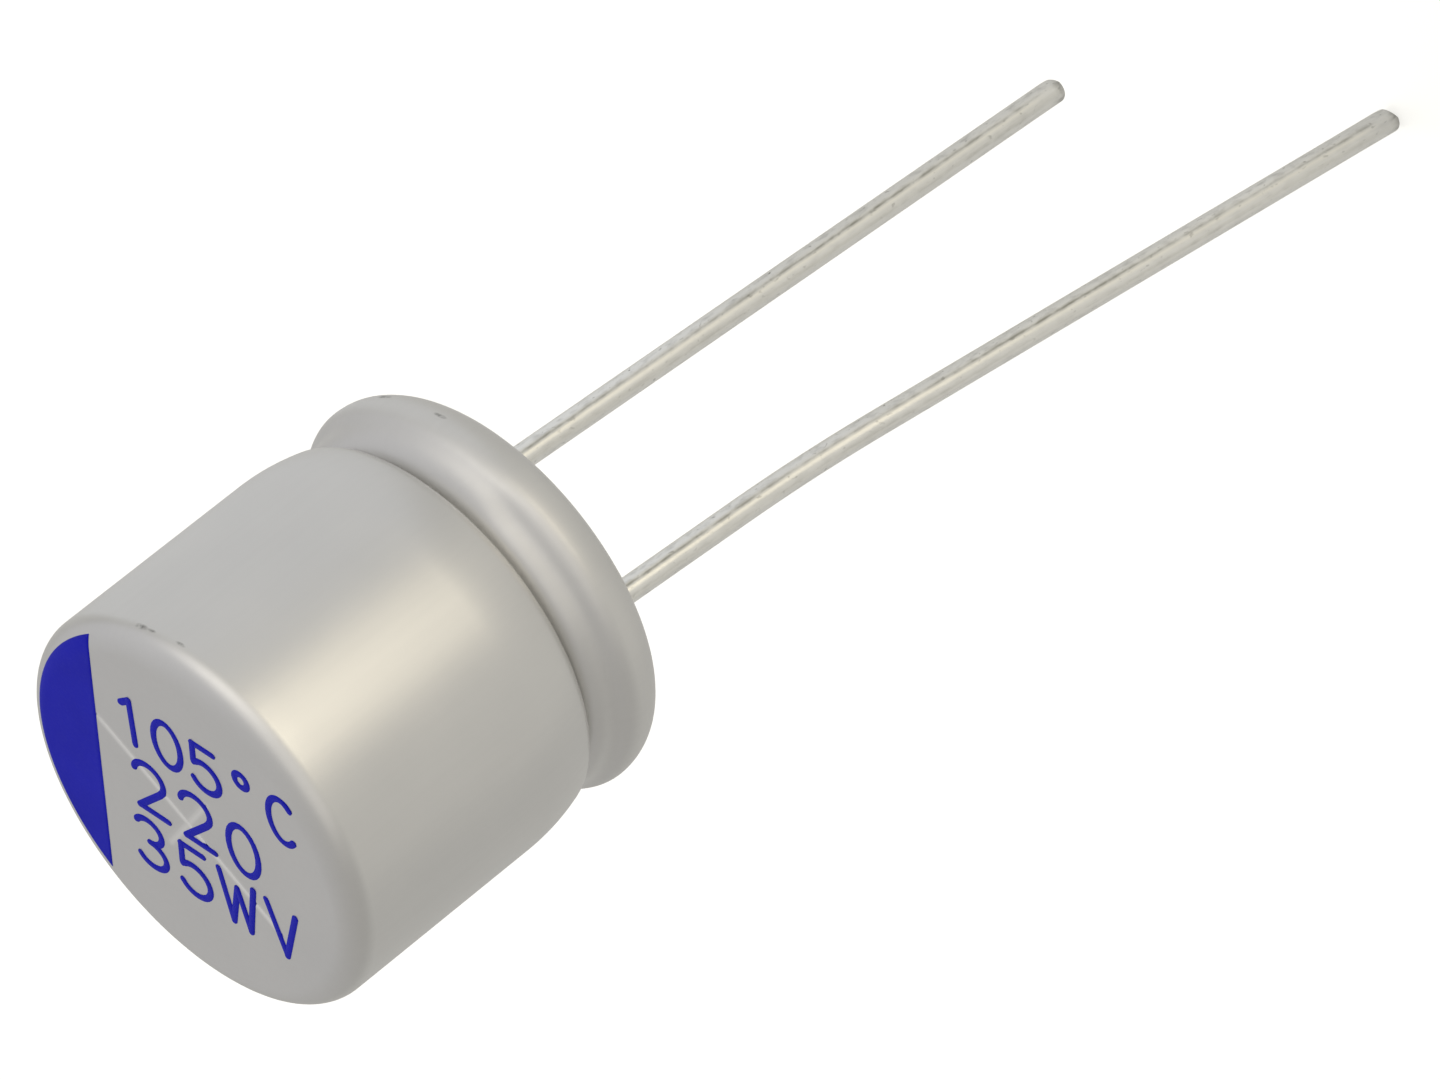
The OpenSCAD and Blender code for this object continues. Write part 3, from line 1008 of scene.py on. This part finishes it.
def butyl_rubber():
    """Black rubber: a cloudy bloom on a finely pitted skin."""
    material, f = new_finish("butyl_rubber")
    where = f.place()
    bloom = f.noise(where, 700, 3)
    pits = f.noise(where, 12000, 3)
    skin = f.mixed(bloom, (0.018, 0.017, 0.017, 1), (0.045, 0.043, 0.041, 1))
    f.surface(Base_Color=skin, Roughness=0.62 + 0.2 * pits, Normal=f.bump(pits, 0.006 * MM))
    return material


def terminal_aluminium():
    """Bare pressed metal, with lines along the press."""
    material, f = new_finish("terminal_aluminium")
    where = f.place()
    press = f.noise(f.stretched(where, (1, 1, 0.1)), 7000, 3)
    skin = f.mixed(press, (0.66, 0.66, 0.67, 1), (0.8, 0.8, 0.81, 1))
    f.surface(Base_Color=skin, Metallic=1, Roughness=0.3 + 0.2 * press, Normal=f.bump(press, 0.003 * MM))
    return material


def foil_and_paper():
    """The roll's turns, a sine of the distance from the axis, with paper fibre over them."""
    material, f = new_finish("foil_and_paper")
    where = f.place()
    radial = f.node("ShaderNodeVectorMath", {"operation": "LENGTH"},
                    {0: f.stretched(where, (1, 1, 0))}, "Value")
    turns = f.node("ShaderNodeMath", {"operation": "SINE"}, {0: radial * 42000})
    fibre = f.noise(where, 9000, 3)
    skin = f.mixed(0.5 + 0.5 * turns, (0.36, 0.29, 0.19, 1), (0.5, 0.45, 0.36, 1))
    skin = f.mixed(0.4 * fibre, skin, (0.28, 0.22, 0.14, 1))
    f.surface(Base_Color=skin, Roughness=0.7 + 0.2 * fibre, Normal=f.bump(0.5 * turns + fibre, 0.006 * MM))
    return material


def tape_film():
    """Amber film with uneven glue behind it."""
    material, f = new_finish("tape_film")
    where = f.place()
    glue = f.noise(where, 1500, 3)
    skin = f.mixed(glue, (0.5, 0.29, 0.07, 1), (0.66, 0.42, 0.13, 1))
    f.surface(Base_Color=skin, Roughness=0.16 + 0.14 * glue, IOR=1.5, Normal=f.bump(glue, 0.004 * MM))
    return material


def dress(material, *names):
    """Puts one finish on CAD nodes that stay as they are."""
    for name in names:
        nodes[name].data.materials.clear()
        nodes[name].data.materials.append(material)
    print(material.name, "on", names)


dress(butyl_rubber(), "sealing_bung")
dress(terminal_aluminium(), "anode_tab", "cathode_tab")
dress(foil_and_paper(), "wound_element")
dress(tape_film(), "stop_tape")

# %% [markdown]
# ## A white floor that keeps its shadow
# The part stands on the tip of its longer lead, over a floor so wide that no view sees past
# it. The floor is an ordinary pale diffuse surface, so it takes shadows; light of its own,
# seen only by the camera and in mirrors, lifts it to the white of a product photograph with no
# more light on the part. From below it is clear, so that the underside can be looked at.

# %% The floor
floor_z = cad_box[0].z / MM
floor_half = 20000
floor_tint = np.array([1, 0.992, 0.953])
floor_shade = 0.37
camera_glow = 0.77
mirror_glow = 0.24


def white_floor():
    """A diffuse surface plus a glow for some kinds of rays, both only on the upper side."""
    material, f = new_finish("white_floor")
    light_path = "ShaderNodeLightPath"
    seen = f.node(light_path, {}, {}, "Is Camera Ray")
    mirrored = f.node(light_path, {}, {}, "Is Glossy Ray") + f.node(light_path, {}, {}, "Is Transmission Ray")
    strength = camera_glow * seen + mirror_glow * mirrored
    glow = f.node("ShaderNodeEmission", {}, {"Color": [*floor_tint, 1], "Strength": strength})
    plain = f.node("ShaderNodeBsdfDiffuse", {}, {"Color": [*(floor_shade * floor_tint), 1]})
    both = f.node("ShaderNodeAddShader", {}, {0: plain, 1: glow})
    under = f.node("ShaderNodeNewGeometry", {}, {}, "Backfacing")
    clear = f.node("ShaderNodeBsdfTransparent", {}, {})
    one_sided = f.node("ShaderNodeMixShader", {}, {0: under, 1: both, 2: clear})
    f.node("ShaderNodeOutputMaterial", {}, {"Surface": one_sided})
    material.cycles.emission_sampling = "NONE"
    return material


floor_mesh = bpy.data.meshes.new("floor")
corners = floor_half * np.array([[-1, -1, 0], [1, -1, 0], [1, 1, 0], [-1, 1, 0]]) + [0, 0, floor_z]
floor_mesh.from_pydata((corners * MM).tolist(), [], [[0, 1, 2, 3]])
floor_mesh.materials.append(white_floor())
floor = bpy.data.objects.new("floor", floor_mesh)
bpy.context.scene.collection.objects.link(floor)
print("floor at, mm:", round(floor_z, 2))

# %% [markdown]
# ## Soft studio light
# A satin can shows its surroundings, blurred. The side of the can mirrors the floor, the
# closed end mirrors the sky behind it, and the shoulder and the lip mirror what stands low in
# front. So a wide key lamp stands at the front right and a wider, weaker one in front. A lamp
# above and behind stays out of the mirrors: it lights the floor and drops the shadow. Three
# glowing cards on the floor, a warm one in front, a faint wide one beside it and a cool one at
# the right, give the can its broad highlight.

# %% The sky
left_sky, right_sky = (0.45, 0.44, 0.42, 1), (0.67, 0.67, 0.69, 1)
sky = bpy.data.worlds.new("sky")
sky.use_nodes = True
bpy.context.scene.world = sky
sky_nodes = Finish(sky.node_tree)
looking = sky_nodes.node("ShaderNodeTexCoord", {}, {}, "Generated")
rightness = sky_nodes.node("ShaderNodeVectorMath", {"operation": "DOT_PRODUCT"},
                           {0: looking, 1: beside}, "Value")
sky_colour = sky_nodes.mixed(0.5 + 0.5 * rightness, left_sky, right_sky)
even_light = sky_nodes.node("ShaderNodeBackground", {}, {"Color": sky_colour})
sky_nodes.node("ShaderNodeOutputWorld", {}, {"Surface": even_light})
print("sky from", left_sky[:3], "at the left to", right_sky[:3], "at the right")

# %% [markdown]
# ## Lamps and cards
# A lamp's power alone says little about how bright it looks: that falls as the lamp grows. So
# each lamp is given by its size and by how bright its face is, and the power follows from both.
# Places are given as seen from the camera: towards it, to its right and up.

# %% Lamps and cards
steep = 0.95
can_middle = stage_point(0, 0, can_height / 2)
soft_boxes = [
    # name, distance, direction to the front, right and up, width and height, brightness, colour
    ("key_box", 320, (0.7, 0.68, 0.22), (340, 170), 0.4, (1, 0.955, 0.865)),
    ("front_fill", 320, (0.945, 0.08, 0.31), (760, 320), 0.29, (1, 0.95, 0.85)),
    ("top_box", 300, (-0.46, 0.27, 0.85), (130, 130), 6.4, (1, 1, 1)),
]
cards = [
    # name, place to the front, right and above the floor, width and height, brightness, colour
    ("warm_card", (96, 8, 1), (62, 62), 1.92, (1, 0.9, 0.69)),
    ("warm_spread", (70, -50, 0.5), (130, 130), 0.09, (1, 0.95, 0.82)),
    ("cool_card", (0, 85, 1), (120, 120), 0.18, (0.76, 0.83, 1)),
]


def aimed(lamp, name, place, aim):
    """Adds a lamp at a place in millimetres, turned so that it shines at another."""
    holder = bpy.data.objects.new(name, lamp)
    ahead = (aim - place) / np.linalg.norm(aim - place)
    upright = upwards if abs(ahead[2]) < steep else towards
    right = np.cross(ahead, upright)
    right = right / np.linalg.norm(right)
    axes = np.column_stack([right, np.cross(right, ahead), -ahead])
    holder.matrix_world = Matrix.Translation((place * MM).tolist()) @ Matrix(axes.tolist()).to_4x4()
    bpy.context.scene.collection.objects.link(holder)
    return holder


def soft_box(name, place, aim, size, brightness, colour):
    """A lamp that the camera doesn't see: its power is pi times its area times its brightness."""
    lamp = bpy.data.lights.new(name, "AREA")
    lamp.shape = "RECTANGLE"
    lamp.size, lamp.size_y = size[0] * MM, size[1] * MM
    lamp.energy = math.pi * lamp.size * lamp.size_y * brightness
    lamp.color = colour
    aimed(lamp, name, place, aim).visible_camera = False


for name, away, direction, *look in soft_boxes:
    soft_box(name, can_middle + away * stage_point(*direction), can_middle, *look)
bpy.data.objects["top_box"].visible_glossy = False
for name, (front, right, over), *look in cards:
    card_middle = stage_point(front, right, floor_z + over)
    soft_box(name, card_middle, card_middle + upwards, *look)

# %% [markdown]
# ## Colours as they are, and the end
# The Standard view shows a colour as it is written.

# %% Colours as they are, and the end
bpy.context.scene.view_settings.view_transform = "Standard"
